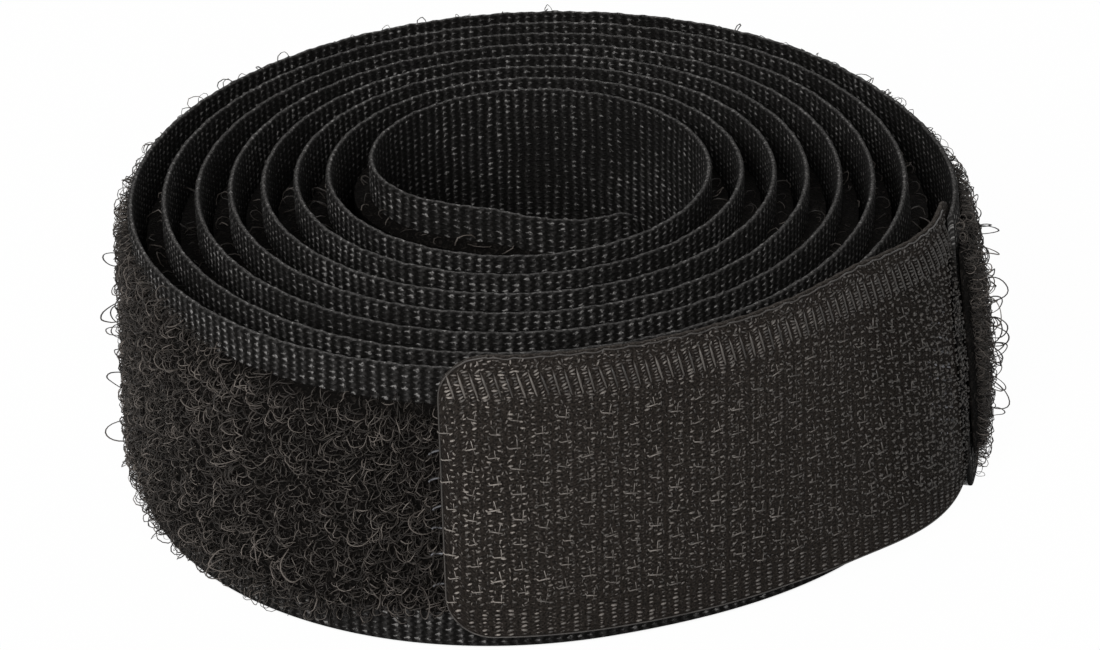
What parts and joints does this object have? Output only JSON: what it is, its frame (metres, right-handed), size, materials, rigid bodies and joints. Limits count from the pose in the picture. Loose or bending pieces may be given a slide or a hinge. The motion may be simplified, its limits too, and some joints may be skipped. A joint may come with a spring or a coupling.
{
  "type": "hook and loop cable tie roll",
  "caption": "Flat roll of black woven hook and loop tape, wound in a loose spiral round an open core and closed by a short hook tab that peels back",
  "frame": {"origin": "centre of the roll's footprint, on the plane that its tapes' lower edges stand on", "axes": "+Z along the tapes' width, from the standing edges upwards; -Y towards the closing tab's tip, which faces the viewer of the picture; +X towards the welded lap"},
  "size_m": [0.0588, 0.056, 0.0218],
  "materials": {
    "tape_weave": "satin",
    "loop_pile": "matte",
    "weld": "satin",
    "hook_tape_weave": "satin",
    "hooks": "satin"
  },
  "bodies": {
    "roll": {"loop_tape": "tape_weave", "loop_pile": "loop_pile", "lap_weld": "weld", "hook_tape_root": "hook_tape_weave", "hooks_root": "hooks"},
    "tab_near": {"hook_tape_near": "hook_tape_weave", "hooks_near": "hooks"},
    "tab_middle": {"hook_tape_middle": "hook_tape_weave", "hooks_middle": "hooks"},
    "tab_tip": {"hook_tape_tip": "hook_tape_weave", "hooks_tip": "hooks"}
  },
  "joints": [
    {"name": "tab_root_bend", "type": "hinge", "parent": "roll", "child": "tab_near", "pos_m": [0.02675, -0.00977, 0.0006], "axis": [-0.1456, 0.0476, 0.9882], "range_deg": [0, 50]},
    {"name": "tab_middle_bend", "type": "hinge", "parent": "tab_near", "child": "tab_middle", "pos_m": [0.01798, -0.02082, 0.0018], "axis": [-0.0543, 0.0565, 0.9969], "range_deg": [0, 40]},
    {"name": "tab_tip_bend", "type": "hinge", "parent": "tab_middle", "child": "tab_tip", "pos_m": [0.00591, -0.02653, 0.0018], "axis": [-0.0005, 0.0019, 1], "range_deg": [0, 40]}
  ]
}
